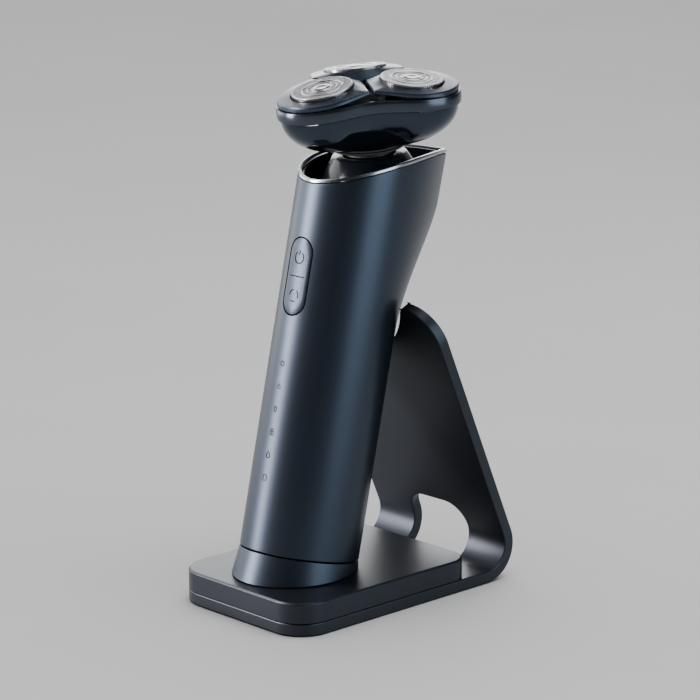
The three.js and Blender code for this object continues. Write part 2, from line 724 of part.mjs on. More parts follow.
// ---------- assembly ----------
const finish = {
  navy: [0x1b2532, 0.42, 0.75],
  bright: [0xc9ccd4, 0.2, 1],
  gloss: [0x07090c, 0.12, 0],
  rubber: [0x15171a, 0.85, 0],
  plastic: [0x22262b, 0.6, 0],
  silver: [0xb9bcc2, 0.28, 1],
  board: [0x1d4a33, 0.55, 0],
  gold: [0xc9a24a, 0.3, 1],
  cell: [0x2d5c8f, 0.5, 0],
  nylon: [0xd8d5cc, 0.6, 0],
  clear: [0xdfe4e8, 0.2, 0],
};

const shaver = new THREE.Group();
const stand = new THREE.Group();
const handle = new THREE.Group();
const head = new THREE.Group();
handle.position.set(0, SEAM_Y, SEAM_Z);
handle.rotation.x = -LEAN;
head.position.set(0, HEAD_Y, HEAD_Z);
head.rotation.set(HEAD_TILT, 0, HEAD_YAW);
shaver.add(stand, handle, head);

function piece(parent, name, geometry, [color, roughness, metalness]) {
  const mesh = new THREE.Mesh(geometry, new THREE.MeshStandardMaterial({ color, roughness, metalness }));
  mesh.name = name;
  parent.add(mesh);
  return mesh;
}

piece(stand, 'stand_plate', standPlate(), finish.navy);
piece(stand, 'foot_pad', footPad(), finish.rubber);
piece(stand, 'charging_block', chargingBlock(), finish.navy);
piece(stand, 'cradle_collar', cradleCollar(), finish.navy);
piece(stand, 'charging_board', chargingBoard(), finish.board);
piece(stand, 'inlet_shell', inletShell(), finish.silver);
piece(stand, 'inlet_tongue', box(-3.3, 3.3, blockRear - 6.5, blockRear - 1.5, 7.6, 8.2), finish.plastic);
screwSpots().forEach(([x, y], i) => piece(stand, `block_screw_${i + 1}`, screwGroup(x, y), finish.silver));

piece(handle, 'contact_carrier', contactCarrier(), finish.plastic);
piece(handle, 'left_contact_pin', contactPin(-PIN_X), finish.gold);
piece(handle, 'right_contact_pin', contactPin(PIN_X), finish.gold);

piece(handle, 'handle_sleeve', handleSleeve(), finish.navy);
piece(handle, 'rim_trim', rimTrim(), finish.bright);
piece(handle, 'top_deck', topDeck(), finish.gloss);
piece(handle, 'rocker_key', rockerKey(), finish.navy);
piece(handle, 'bottom_cap', bottomCap(), finish.plastic);
piece(handle, 'left_charge_pad', contactPad(-PIN_X), finish.gold);
piece(handle, 'right_charge_pad', contactPad(PIN_X), finish.gold);
piece(handle, 'cap_seal', capSeal(), finish.rubber);
piece(handle, 'chassis', chassis(), finish.plastic);
piece(handle, 'battery_cell', rod(9, 9, 74, 0, 3.6, 32), finish.cell);
piece(handle, 'main_board', box(-11, 11, -9.2, -7.7, 10, 78), finish.board);
piece(handle, 'board_bracket', box(-6, 6, -14.1, -12.6, 18, 108), finish.plastic);
piece(handle, 'key_board', box(-5.5, 5.5, -15.6, -14.4, KEY_H - 13, KEY_H + 13), finish.board);
piece(handle, 'power_switch', box(-2, 2, -17.7, -15.9, KEY_H + 6, KEY_H + 10), finish.plastic);
piece(handle, 'mode_switch', box(-2, 2, -17.7, -15.9, KEY_H - 10, KEY_H - 6), finish.plastic);
piece(handle, 'indicator_board', box(-4, 4, -15.6, -14.4, 20, 68), finish.board);
piece(handle, 'light_guide', box(-2.2, 2.2, -19.4, -16.2, 21, 67), finish.clear);
piece(handle, 'motor', motorCan(), finish.silver);
piece(handle, 'motor_mount', motorMount(), finish.plastic);
piece(handle, 'drive_shaft', driveShaft(), finish.silver);

piece(head, 'neck_post', neckPost(), finish.gloss);
piece(head, 'gimbal_ring', gimbalRing(), finish.plastic);
piece(head, 'neck_ring', neckRing(), finish.gloss);
piece(head, 'head_bowl', headBowl(), finish.gloss);
piece(head, 'gear_plate', gearPlate(), finish.plastic);
piece(head, 'sun_gear', sunGear(), finish.nylon);
piece(head, 'head_band', headBand(), finish.navy);
piece(head, 'inner_frame', innerFrame(), finish.plastic);

POD_ANGLES.forEach((angle, i) => {
  const name = POD_NAMES[i];
  const pod = new THREE.Group();
  pod.rotation.z = angle;
  head.add(pod);
  piece(pod, `${name}_pod`, podBody(), finish.navy);
  piece(pod, `${name}_foil`, foilGuard(), finish.silver);
  piece(pod, `${name}_cutter`, cutterDisc(), finish.silver);
  const gear = piece(head, `${name}_gear`, planetGear(angle), finish.nylon);
  gear.position.set(GEAR_RADIUS * Math.cos(angle), GEAR_RADIUS * Math.sin(angle), 0);
});

export default shaver;
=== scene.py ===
"""Rotary electric shaver leaning in its charging stand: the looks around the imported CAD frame.

Shapes are worked out in millimetres, in the axes of the stand, the handle or the head, and
turned into metres in the row frame when a mesh is made.
"""
import json
import math

import bmesh
import bpy
from mathutils import Matrix, Vector
from mathutils.geometry import tessellate_polygon


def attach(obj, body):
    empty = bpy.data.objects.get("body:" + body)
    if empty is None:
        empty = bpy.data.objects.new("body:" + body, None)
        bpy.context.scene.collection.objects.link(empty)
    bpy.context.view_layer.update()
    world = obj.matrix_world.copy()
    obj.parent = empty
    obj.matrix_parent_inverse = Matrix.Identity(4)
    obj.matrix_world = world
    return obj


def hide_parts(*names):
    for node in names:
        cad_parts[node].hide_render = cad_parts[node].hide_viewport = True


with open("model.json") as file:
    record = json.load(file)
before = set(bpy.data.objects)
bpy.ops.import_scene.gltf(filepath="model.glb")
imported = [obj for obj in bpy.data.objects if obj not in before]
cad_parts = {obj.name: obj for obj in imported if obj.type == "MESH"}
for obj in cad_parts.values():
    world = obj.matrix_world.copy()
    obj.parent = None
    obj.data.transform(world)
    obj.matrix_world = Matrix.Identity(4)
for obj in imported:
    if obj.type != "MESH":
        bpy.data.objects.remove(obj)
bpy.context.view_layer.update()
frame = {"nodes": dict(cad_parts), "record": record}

# ---------- sizes, millimetres ----------
MM = 0.001
GAP = 0.3

WIDTH = 62.0
LENGTH = 100.5
PLATE = 4.0
PLATE_FOOT = 0.4
BEND_R = 12.0
STRUT_LEAN = math.radians(23.9)
STRUT = 91.3
STRUT_CORNER = 13.5
FRONT_CORNER = 11.6
CUTOUT_HALF = 13.2
CUTOUT_RISE = 8.2
CUTOUT_AHEAD = 2.2
CUTOUT_R = 8.0
PLATE_EDGE = 0.45              # edge fillet of the plate
NOTCH_AIR = 0.6                # air between the notch and the shaver's back
BLOCK_LENGTH = 80.5
BLOCK_TOP = 11.6
BLOCK_CORNER = 9.0
BLOCK_CHAMFER = 0.55
BLOCK_WALL = 2.0

LEAN = math.radians(12.5)
SEAM_Y = -21.56
SEAM_Z = 17.9
HALF_WIDTH = 18.9
FRONT = 21.3
REAR = 21.3
PROW = 38.4
FLARE_FROM = 76.0
FLARE_TO = 126.0
PROW_PINCH = 0.5
WALL = 1.2
RIM_H = 133.75
RIM_SLOPE = 0.345
RIM_SAG = 0.0046
TRIM = 1.1
TRIM_GAP = 0.4
DECK_GAP = 0.45
KEY_H = 91.9
KEY_HALF_LENGTH = 12.8
KEY_HALF_WIDTH = 5.0
KEY_GAP = 0.4
COLLAR_TOP = -0.5              # how far under the seam the collar ends
COLLAR_SPLAY = 0.13
ICON_TOP_H = 62.8              # the highest of the six indicator marks
ICON_STEP = 7.64
INDICATOR_WIDTH = 0.36
KEY_MARK_WIDTH = 0.34
KEY_MARK_INSET = 0.02

HEAD_Y = 7.75
HEAD_Z = 174.95
HEAD_TILT = math.radians(6.7)
HEAD_YAW = math.radians(-5.1)  # the head stands a little turned on its neck
POD_RADIUS = 17.25
POD_TILT = math.radians(8.5)
FOIL_R = 10.4
HEAD_MEAN_R = 28.0
HEAD_LOBE_R = 5.1
LOBE_WAVE = 1.6
POD_R = 15.2
POD_ROUND = math.radians(88)
POD_CORNER = 18.5
POD_GAP = 0.8
POD_FOOT = -4.6
POD_SKIRT = 1.5
POD_CLIMB = 2.9
TIP_CLIMB = 0.85
RIDGE_CLIMB = 0.83
POD_TOP = -0.9
POD_FACE_R = 10.95             # the top face is a narrow rim round the foil
BAND_TOP = -5.0
BAND_FOOT = -8.95
BAND_WALL = 1.4
BOWL_TOP = -9.25
BOWL_DROP = 12.7
BOWL_INSET = 1.1
BOWL_SCOOP = 1.5               # depth of the hollow between two lobes
NECK_R = 12.0
PIVOT = -23.25
NECK_LOW = -0.5
NECK_HIGH = 1.0
POD_NAMES = ("front", "right", "left")
POD_ANGLES = [math.radians(a) for a in (-90, 30, 150)]

FRONT_EDGE = -LENGTH / 2
BEND_Y = LENGTH / 2 - BEND_R
BEND_Z = PLATE_FOOT + BEND_R
BEND_START = BEND_Y - FRONT_EDGE
BEND_END = BEND_START + BEND_R * (math.pi / 2 + STRUT_LEAN)
STRUT_END = BEND_END + STRUT
BLOCK_REAR = FRONT_EDGE + BLOCK_LENGTH
SEAM_GAP = 0.1
BLOCK_FOOT = PLATE_FOOT + PLATE + SEAM_GAP

IN_STAND = Matrix.Identity(4)
IN_HANDLE = Matrix.Translation((0, SEAM_Y, SEAM_Z)) @ Matrix.Rotation(-LEAN, 4, "X")
IN_HEAD = (Matrix.Translation((0, HEAD_Y, HEAD_Z)) @ Matrix.Rotation(HEAD_TILT, 4, "X")
           @ Matrix.Rotation(HEAD_YAW, 4, "Z"))
HANDLE_FROM_STAND = IN_HANDLE.inverted()

CAMERA_AZIMUTH = math.radians(46.31)
CAMERA_ELEVATION = math.radians(13.75)
CAMERA_TARGET = Vector((6.99, -4.75, 85.54))
CAMERA_DISTANCE = 1000.0
CAMERA_LENS = 154.67
SENSOR_WIDTH = 36.0
RING = 216                     # points round the handle and the head
SMOOTH_ANGLE = math.radians(32)
SHARPEST_MITRE = 0.35          # keeps the offset of a sharp corner short


# ---------- numbers ----------
def lerp(a, b, t):
    return a + (b - a) * t


def smoothstep(x, low, high):
    t = min(1.0, max(0.0, (x - low) / (high - low)))
    return t * t * (3 - 2 * t)


def turns(count):
    return [2 * math.pi * i / count for i in range(count)]


def arc(cx, cy, r, start, end, steps):
    """Points on an arc, angles in degrees, both ends included."""
    angles = [math.radians(lerp(start, end, i / steps)) for i in range(steps + 1)]
    return [(cx + r * math.cos(a), cy + r * math.sin(a)) for a in angles]


# ---------- meshes ----------
def new_piece(name, points, faces, material, place=IN_STAND):
    """A closed smooth mesh from millimetre points in a part's own axes."""
    mesh = bpy.data.meshes.new(name)
    mesh.from_pydata([(place @ Vector(p)) * MM for p in points], [], faces)
    mesh.validate()
    tidy(mesh)
    piece = bpy.data.objects.new(name, mesh)
    bpy.context.scene.collection.objects.link(piece)
    mesh.materials.append(material)
    return piece


def tidy(mesh):
    work = bmesh.new()
    work.from_mesh(mesh)
    bmesh.ops.remove_doubles(work, verts=work.verts, dist=1e-8)
    bmesh.ops.dissolve_degenerate(work, edges=work.edges, dist=1e-8)
    bmesh.ops.recalc_face_normals(work, faces=work.faces)
    work.to_mesh(mesh)
    work.free()
    shade(mesh)


def shade(mesh):
    mesh.polygons.foreach_set("use_smooth", [True] * len(mesh.polygons))
    mesh.set_sharp_from_angle(angle=SMOOTH_ANGLE)


def weighted(piece):
    """Keeps large flat faces flat beside their small edge fillets."""
    normals = piece.modifiers.new("weighted", "WEIGHTED_NORMAL")
    normals.keep_sharp = True
    normals.weight = 100
    return piece


def loft_faces(count, rows, looped):
    """Quads between rings of count points. An open loft gets an end cap at each end."""
    faces = []
    for k in range(rows if looped else rows - 1):
        low, high = k * count, ((k + 1) % rows) * count
        for i in range(count):
            j = (i + 1) % count
            faces.append((low + i, low + j, high + j, high + i))
    if not looped:
        faces.append(tuple(reversed(range(count))))
        faces.append(tuple(range((rows - 1) * count, rows * count)))
    return faces


def loft(name, rings, material, place=IN_STAND, looped=False):
    points = [p for ring in rings for p in ring]
    faces = loft_faces(len(rings[0]), len(rings), looped)
    return new_piece(name, points, faces, material, place)


def apply_boolean(piece, tool):
    cutter = piece.modifiers.new("cut", "BOOLEAN")
    cutter.operation = "DIFFERENCE"
    cutter.solver = "EXACT"
    cutter.object = tool
    graph = bpy.context.evaluated_depsgraph_get()
    cut_mesh = bpy.data.meshes.new_from_object(piece.evaluated_get(graph), depsgraph=graph)
    piece.modifiers.remove(cutter)
    materials = list(piece.data.materials)
    piece.data = cut_mesh
    piece.data.materials.clear()
    for material in materials:
        piece.data.materials.append(material)
    bpy.data.objects.remove(tool)
    shade(piece.data)
    return piece


def joined(parts):
    """The points and faces of several parts as one mesh's."""
    points, faces = [], []
    for more, skin in parts:
        first = len(points)
        points += more
        faces += [tuple(first + i for i in face) for face in skin]
    return points, faces


def turned_rings(profile, count=96):
    """Rings round Z for each (radius, height) of a profile."""
    return [[(r * math.cos(a), r * math.sin(a), z) for a in turns(count)] for r, z in profile]


def offset_loop(loop, d):
    """Moves a closed outline inwards (counter-clockwise loops) by d, with mitred corners."""
    moved = []
    count = len(loop)
    for i in range(count):
        before, here, after = (Vector(loop[(i + k) % count]) for k in (-1, 0, 1))
        first, second = (here - before).normalized(), (after - here).normalized()
        inward = Vector((-first.y - second.y, first.x + second.x))
        if inward.length < 1e-6:
            inward = Vector((-first.y, first.x))
        inward.normalize()
        stretch = max(SHARPEST_MITRE, inward.dot(Vector((-first.y, first.x))))
        moved.append(tuple(here + inward * (d / stretch)))
    return moved


def slab(outer, holes, z0, z1, fillet):
    """A flat slab with rounded edges. outer runs counter-clockwise and holes clockwise."""
    steps = 4
    profile = []
    for i in range(steps + 1):
        a = math.radians(90 * i / steps)
        profile.append((fillet * (1 - math.sin(a)), z0 + fillet * (1 - math.cos(a))))
    profile += [(inset, z0 + z1 - z) for inset, z in reversed(profile)]
    points, faces = [], []
    bottom, top = [], []
    for loop in [outer, *holes]:
        first = len(points)
        for inset, z in profile:
            points += [(x, y, z) for x, y in offset_loop(loop, inset)]
        count, rows = len(loop), len(profile)
        for k in range(rows - 1):
            for i in range(count):
                j = (i + 1) % count
                low, high = first + k * count, first + (k + 1) * count
                faces.append((low + i, low + j, high + j, high + i))
        bottom.append(range(first, first + count))
        top.append(range(first + (rows - 1) * count, first + rows * count))
    for loops, flip in ((bottom, True), (top, False)):
        flat = [i for loop in loops for i in loop]
        for tri in tessellate_polygon([[Vector(points[i]) for i in loop] for loop in loops]):
            face = tuple(flat[i] for i in tri)
            faces.append(face[::-1] if flip else face)
    return points, faces


# ---------- materials ----------
GRAIN_DEPTH = 0.00004          # metres
GRAIN_DETAIL = 6.0
DRIFT_SCALE = 18.0             # the slow colour drift's noise
DRIFT_DETAIL = 3.0
RAMP_FROM, RAMP_TO = 0.3, 0.7  # the part of the noise that a finish's range is spread over


def node_material(name, **sockets):
    material = bpy.data.materials.new(name)
    material.use_nodes = True
    shader = material.node_tree.nodes["Principled BSDF"]
    for key, value in sockets.items():
        socket = shader.inputs[key.replace("_", " ")]
        socket.default_value = (*value, 1) if isinstance(value, tuple) and len(value) == 3 else value
    return material, material.node_tree, shader


def noise(tree, scale, detail=4.0, stretch=(1, 1, 1)):
    nodes, links = tree.nodes, tree.links
    coords = nodes.new("ShaderNodeTexCoord")
    mapping = nodes.new("ShaderNodeMapping")
    mapping.inputs["Scale"].default_value = stretch
    texture = nodes.new("ShaderNodeTexNoise")
    texture.inputs["Scale"].default_value = scale
    texture.inputs["Detail"].default_value = detail
    links.new(coords.outputs["Object"], mapping.inputs["Vector"])
    links.new(mapping.outputs["Vector"], texture.inputs["Vector"])
    return texture


def vary_color(tree, shader, texture, low, high):
    ramp = tree.nodes.new("ShaderNodeValToRGB")
    for stop, position, color in zip(ramp.color_ramp.elements, (RAMP_FROM, RAMP_TO), (low, high)):
        stop.position = position
        stop.color = (*color, 1)
    tree.links.new(texture.outputs["Fac"], ramp.inputs["Fac"])
    tree.links.new(ramp.outputs["Color"], shader.inputs["Base Color"])


def vary_roughness(tree, shader, texture, low, high):
    spread = tree.nodes.new("ShaderNodeMapRange")
    for socket, value in zip(("From Min", "From Max", "To Min", "To Max"), (RAMP_FROM, RAMP_TO, low, high)):
        spread.inputs[socket].default_value = value
    tree.links.new(texture.outputs["Fac"], spread.inputs["Value"])
    tree.links.new(spread.outputs["Result"], shader.inputs["Roughness"])


def bump(tree, shader, texture, strength, distance):
    relief = tree.nodes.new("ShaderNodeBump")
    relief.inputs["Strength"].default_value = strength
    relief.inputs["Distance"].default_value = distance
    tree.links.new(texture.outputs["Fac"], relief.inputs["Height"])
    tree.links.new(relief.outputs["Normal"], shader.inputs["Normal"])


def grained(name, low, high, roughness, grain, strength, stretch=(1, 1, 1), **sockets):
    """A finish with slow colour drift and a fine grain in roughness and relief."""
    material, tree, shader = node_material(name, **sockets)
    vary_color(tree, shader, noise(tree, DRIFT_SCALE, DRIFT_DETAIL), low, high)
    fine = noise(tree, grain, GRAIN_DETAIL, stretch)
    vary_roughness(tree, shader, fine, *roughness)
    bump(tree, shader, fine, strength, GRAIN_DEPTH)
    return material


NAVY = dict(Metallic=0.88, Specular_IOR_Level=0.5)
METAL = dict(Metallic=1.0)

# Each finish: darkest and lightest colour, roughness from and to, grain scale, relief, other sockets.
FINISHES = {
    "satin_navy_metal": ((0.029, 0.038, 0.053), (0.034, 0.045, 0.062), (0.34, 0.40), 5200, 0.10, NAVY),
    "stand_navy": ((0.026, 0.030, 0.038), (0.032, 0.037, 0.046), (0.36, 0.43), 4600, 0.12, NAVY),
    "pod_navy": ((0.034, 0.047, 0.069), (0.040, 0.055, 0.079), (0.27, 0.33), 5200, 0.08, NAVY),
    "band_navy": ((0.046, 0.056, 0.072), (0.054, 0.065, 0.083), (0.20, 0.26), 5200, 0.08, NAVY),
    "bright_trim": ((0.31, 0.325, 0.355), (0.36, 0.375, 0.405), (0.20, 0.28), 2600, 0.05, METAL),
    "gloss_black": ((0.008, 0.010, 0.013), (0.011, 0.013, 0.017), (0.07, 0.11), 900, 0.02,
                    dict(Specular_IOR_Level=0.38, Coat_Weight=0.15, Coat_Roughness=0.04)),
    "bowl_black": ((0.026, 0.036, 0.050), (0.030, 0.042, 0.058), (0.08, 0.12), 900, 0.02,
                   dict(Metallic=0.9, Coat_Weight=0.12, Coat_Roughness=0.05)),
    "deck_black": ((0.005, 0.007, 0.010), (0.008, 0.010, 0.014), (0.17, 0.24), 900, 0.02,
                   dict(Specular_IOR_Level=0.22)),
    "silicone": ((0.018, 0.019, 0.021), (0.026, 0.027, 0.03), (0.7, 0.85), 2400, 0.4, {}),
    "black_plastic": ((0.020, 0.022, 0.025), (0.028, 0.031, 0.034), (0.45, 0.58), 1900, 0.3, {}),
    "foil_steel": ((0.45, 0.45, 0.47), (0.53, 0.53, 0.55), (0.20, 0.28), 3000, 0.08, METAL),
    "machine_steel": ((0.16, 0.165, 0.175), (0.22, 0.225, 0.235), (0.34, 0.44), 1600, 0.2,
                      dict(stretch=(1, 1, 9), **METAL)),
    "contact_gold": ((0.70, 0.50, 0.20), (0.80, 0.60, 0.27), (0.22, 0.32), 2200, 0.1, METAL),
    "circuit_board": ((0.012, 0.075, 0.040), (0.020, 0.110, 0.060), (0.35, 0.5), 700, 0.2, {}),
    "cell_wrap": ((0.020, 0.085, 0.21), (0.027, 0.105, 0.25), (0.3, 0.4), 300, 0.2, {}),
    "gear_nylon": ((0.62, 0.60, 0.55), (0.70, 0.68, 0.62), (0.4, 0.5), 900, 0.2, {}),
    "light_pipe": ((0.72, 0.76, 0.80), (0.82, 0.85, 0.88), (0.1, 0.18), 400, 0.05,
                   dict(Transmission_Weight=0.6)),
    "icon_print": ((0.004, 0.005, 0.007), (0.007, 0.008, 0.011), (0.8, 0.9), 3000, 0.1,
                   dict(Specular_IOR_Level=0.05)),
}


def make_materials():
    return {name: grained(name, *look, **extra) for name, (*look, extra) in FINISHES.items()}


# ---------- stand ----------
def bend(point):
    """Takes a point of the flat plate (across, along, up) to its place in the bent plate."""
    x, along, up = point
    radius = BEND_R - up
    turned = (along - BEND_START) / BEND_R
    if turned <= 0:
        return (x, FRONT_EDGE + along, PLATE_FOOT + up)
    angle = min(turned, math.pi / 2 + STRUT_LEAN)
    climb = (turned - angle) * BEND_R
    y = BEND_Y + radius * math.sin(angle) + climb * math.cos(angle)
    z = BEND_Z - radius * math.cos(angle) + climb * math.sin(angle)
    return (x, y, z)


def inside_shaver(x, along):
    """True where the shaver's body, with some air, crosses the strut's thickness."""
    for up in (0.0, PLATE / 2, PLATE):
        local = HANDLE_FROM_STAND @ Vector(bend((x, along, up)))
        half, reach = section_extent(local.z, -NOTCH_AIR)
        sine = abs(local.y) / reach if local.y > 0 else abs(local.y) / (FRONT + NOTCH_AIR)
        if sine < 1 and abs(x) < side_at(half, sine, local.z, local.y > 0):
            return True
    return False


def notch_depth(x):
    """How far along the plate the notch's edge lies at this place across."""
    low, high = BEND_END, STRUT_END
    if not inside_shaver(x, high):
        return None
    for _ in range(30):
        middle = (low + high) / 2
        low, high = (low, middle) if inside_shaver(x, middle) else (middle, high)
    return high


def notch_points():
    """The notch's right half, from its bottom out to the strut's top edge."""
    step, count = 0.1, 26
    reach = max(i for i in range(200) if notch_depth(i * step) is not None) * step
    xs = [reach * math.sin(math.radians(90 * i / count)) for i in range(count + 1)]
    return [(x, notch_depth(x)) for x in xs if notch_depth(x) is not None]


def plate_outline():
    half = WIDTH / 2
    notch = notch_points()
    last_x = notch[-1][0]
    lip = 1.1                  # rounding of the horn's inner corner
    right = arc(half - FRONT_CORNER, FRONT_CORNER, FRONT_CORNER, -90, 0, 16)
    corner = STRUT_END - STRUT_CORNER
    right += arc(half - STRUT_CORNER, corner, STRUT_CORNER, 0, 90, 20)
    inner = [p for p in reversed(notch) if p[1] < STRUT_END - lip]
    right += [(last_x + lip, STRUT_END), (last_x + lip * 0.35, STRUT_END - lip * 0.35)]
    right += inner
    left = [(-x, y) for x, y in reversed(right) if x > 1e-6]
    return right + left


def cutout_outline():
    """The cable cut-out: from the base just behind the block, through the bend, up the strut."""
    low, high = BEND_START - CUTOUT_AHEAD, BEND_END + CUTOUT_RISE
    half, r = CUTOUT_HALF, CUTOUT_R
    small = 1.0
    loop = arc(half - small, low + small, small, -90, 0, 6)
    loop += arc(half - r, high - r, r, 0, 90, 12)
    loop += arc(-half + r, high - r, r, 90, 180, 12)
    loop += arc(-half + small, low + small, small, 180, 270, 6)
    return loop[::-1]


def stand_plate(materials):
    points, faces = slab(plate_outline(), [cutout_outline()], 0.0, PLATE, PLATE_EDGE)
    work = bmesh.new()
    corners = [work.verts.new(p) for p in points]
    for face in faces:
        work.faces.new([corners[i] for i in face])
    slices = 40
    for i in range(slices + 1):
        along = lerp(BEND_START, BEND_END, i / slices)
        everything = list(work.verts) + list(work.edges) + list(work.faces)
        bmesh.ops.bisect_plane(work, geom=everything, plane_co=(0, along, 0), plane_no=(0, 1, 0), dist=1e-5)
    for vert in work.verts:
        vert.co = Vector(bend(vert.co)) * MM
    bmesh.ops.recalc_face_normals(work, faces=work.faces)
    mesh = bpy.data.meshes.new("bent_plate")
    work.to_mesh(mesh)
    work.free()
    shade(mesh)
    mesh.materials.append(materials["stand_navy"])
    piece = bpy.data.objects.new("bent_plate", mesh)
    bpy.context.scene.collection.objects.link(piece)
    return weighted(piece)


def block_loop(inset):
    half = WIDTH / 2
    front, rear = FRONT_CORNER - inset, BLOCK_CORNER - inset
    y0, y1 = FRONT_EDGE + FRONT_CORNER, BLOCK_REAR - BLOCK_CORNER
    corners = [
        arc(half - FRONT_CORNER, y0, front, -90, 0, 24), arc(half - BLOCK_CORNER, y1, rear, 0, 90, 12),
        arc(-half + BLOCK_CORNER, y1, rear, 90, 180, 12), arc(-half + FRONT_CORNER, y0, front, 180, 270, 24),
    ]
    side_steps = 30
    loop = []
    for corner, following in zip(corners, corners[1:] + corners[:1]):
        start, end = Vector(corner[-1]), Vector(following[0])
        loop += corner + [tuple(start.lerp(end, i / side_steps)) for i in range(1, side_steps)]
    return loop


def carrier_window(loop, z):
    """The rectangular window in the block and the collar for the contact carrier."""
    half_x, half_y = 9.3, 4.5
    middle = SEAM_Y + (z - SEAM_Z) * math.tan(LEAN)
    ring = []
    for x, y in loop:
        dx, dy = x, y - middle
        stretch = 1 / max(abs(dx) / half_x, abs(dy) / half_y)
        ring.append((dx * stretch, middle + dy * stretch, z))
    return ring


def charging_block(materials):
    base = block_loop(0)

    def level(inset, z):
        return [(x, y, z) for x, y in block_loop(inset)]

    soft = 0.12
    rings = [
        level(0.2, BLOCK_FOOT), level(0, BLOCK_FOOT + 0.2), level(0, BLOCK_TOP - BLOCK_CHAMFER - soft),
        level(soft / 2, BLOCK_TOP - BLOCK_CHAMFER), level(BLOCK_CHAMFER - soft / 2, BLOCK_TOP - soft / 2),
        level(BLOCK_CHAMFER + soft, BLOCK_TOP), carrier_window(base, BLOCK_TOP),
        carrier_window(base, BLOCK_TOP - BLOCK_WALL), level(BLOCK_WALL, BLOCK_TOP - BLOCK_WALL),
        level(BLOCK_WALL, BLOCK_FOOT),
    ]
    block = loft("block_housing", rings, materials["stand_navy"], looped=True)
    half, low, high, end = 4.9, 5.7, 9.5, 1.7
    centre, radius = (low + high) / 2, (high - low) / 2
    outline = arc(half - end, centre, radius, -90, 90, 12) + arc(-half + end, centre, radius, 90, 270, 12)
    depth = 5.0
    tool_rings = [[(x, BLOCK_REAR + d, z) for x, z in outline] for d in (-depth, depth)]
    tool = loft("socket_tool", tool_rings, materials["stand_navy"])
    return weighted(apply_boolean(block, tool))


def collar_ring(inset, h=None, z=None):
    """One ring of the collar: across the handle's axis at h, or level at height z."""
    ring = []
    for angle in turns(RING):
        x, v = section_point(angle, 0, inset)
        top_h = COLLAR_TOP if h is None else h
        top = IN_HANDLE @ Vector((x, v, top_h))
        if z is None:
            ring.append(tuple(top))
            continue
        drop = (top.z - z) / math.cos(LEAN)
        splay = COLLAR_SPLAY * drop
        spread = Vector((x * (1 + splay / HALF_WIDTH), v * (1 + splay / FRONT), top_h - drop))
        low = IN_HANDLE @ spread
        ring.append((low.x, low.y, z))
    return ring


def cradle_collar(materials):
    foot = BLOCK_TOP + GAP
    soft, chamfer = 0.3, 0.09
    outline = [(x, y) for x, y, _ in collar_ring(0, z=foot)]
    window_low = carrier_window(outline, foot)
    seam = IN_HANDLE @ Vector((0, 0, COLLAR_TOP))
    back = seam.y - (SEAM_Y + (foot - SEAM_Z) * math.tan(LEAN))
    window_high = [(x, y + back, seam.z - (y + back - seam.y) * math.tan(LEAN)) for x, y, _ in window_low]
    rings = [collar_ring(soft, z=foot), collar_ring(soft * 0.3, z=foot + chamfer)]
    rings += [collar_ring(0, z=foot + soft)]
    rings += [collar_ring(0, h=COLLAR_TOP - soft), collar_ring(chamfer, h=COLLAR_TOP - chamfer)]
    rings += [collar_ring(soft, h=COLLAR_TOP)]
    rings += [window_high, window_low]
    return weighted(loft("collar", rings, materials["satin_navy_metal"], looped=True))


# ---------- handle ----------
def section_extent(h, inset):
    """Half width and rear reach of the section at this height."""
    t = smoothstep(h, FLARE_FROM, FLARE_TO)
    return HALF_WIDTH - inset, lerp(REAR, PROW, t) - inset * (1 + 0.4 * t)


def side_at(half, sine, h, rear):
    cosine = math.sqrt(max(0.0, 1 - sine * sine))
    pinch = PROW_PINCH * smoothstep(h, FLARE_FROM, FLARE_TO) if rear else 0.0
    return half * (cosine * (1 - pinch) + cosine ** 3 * pinch)


def section_point(angle, h, inset):
    half, reach = section_extent(h, inset)
    c, s = math.cos(angle), math.sin(angle)
    if s <= 0:
        return half * c, (FRONT - inset) * s
    return math.copysign(side_at(half, s, h, True), c), reach * s


def rim_height(v):
    return RIM_H + RIM_SLOPE * v - RIM_SAG * v * v


def even_turns():
    """Angles round the section, closer together where the prow is sharp."""
    crowding = 0.35
    return [a - crowding * math.cos(a) * max(0.0, math.sin(a)) ** 2 for a in turns(RING)]


SECTION_ANGLES = even_turns()


def level_ring(h, inset):
    return [(*section_point(a, h, inset), h) for a in SECTION_ANGLES]


def rim_ring(drop, inset):
    ring = []
    for a in SECTION_ANGLES:
        x, v = section_point(a, FLARE_TO, inset)
        outer = section_point(a, FLARE_TO, 0)[1]
        ring.append((x, v, rim_height(outer) - drop))
    return ring


def between_rings(low, high, share):
    return [tuple(Vector(a).lerp(Vector(b), share)) for a, b in zip(low, high)]


def sleeve_rings():
    """The sleeve's outer skin and then its inner one, closing on itself."""
    edge = 0.3
    drop = TRIM + TRIM_GAP
    flare_step, flare_levels = 2.5, 19
    heights = [edge, 20, 40, 60] + [FLARE_FROM + flare_step * i for i in range(flare_levels)]
    outer = [level_ring(0, edge), level_ring(edge * 0.3, edge * 0.3)]
    outer += [level_ring(h, 0) for h in heights]
    lip = rim_ring(drop + edge, 0)
    outer += [between_rings(outer[-1], lip, 0.5), lip]
    outer += [rim_ring(drop + edge * 0.3, edge * 0.3), rim_ring(drop, edge)]
    inner = [rim_ring(drop, WALL)]
    inner += [level_ring(h, WALL) for h in reversed(heights[1:])]
    inner.append(level_ring(0, WALL))
    return outer + inner


def pill(extra, count=40):
    r = KEY_HALF_WIDTH + extra
    reach = KEY_HALF_LENGTH - KEY_HALF_WIDTH
    loop = arc(0, reach, r, 0, 180, count) + arc(0, -reach, r, 180, 360, count)
    return [(x, y + KEY_H) for x, y in loop]


def front_v(x):
    """The front face of the sleeve at this place across."""
    return -FRONT * math.sqrt(1 - (x / HALF_WIDTH) ** 2)


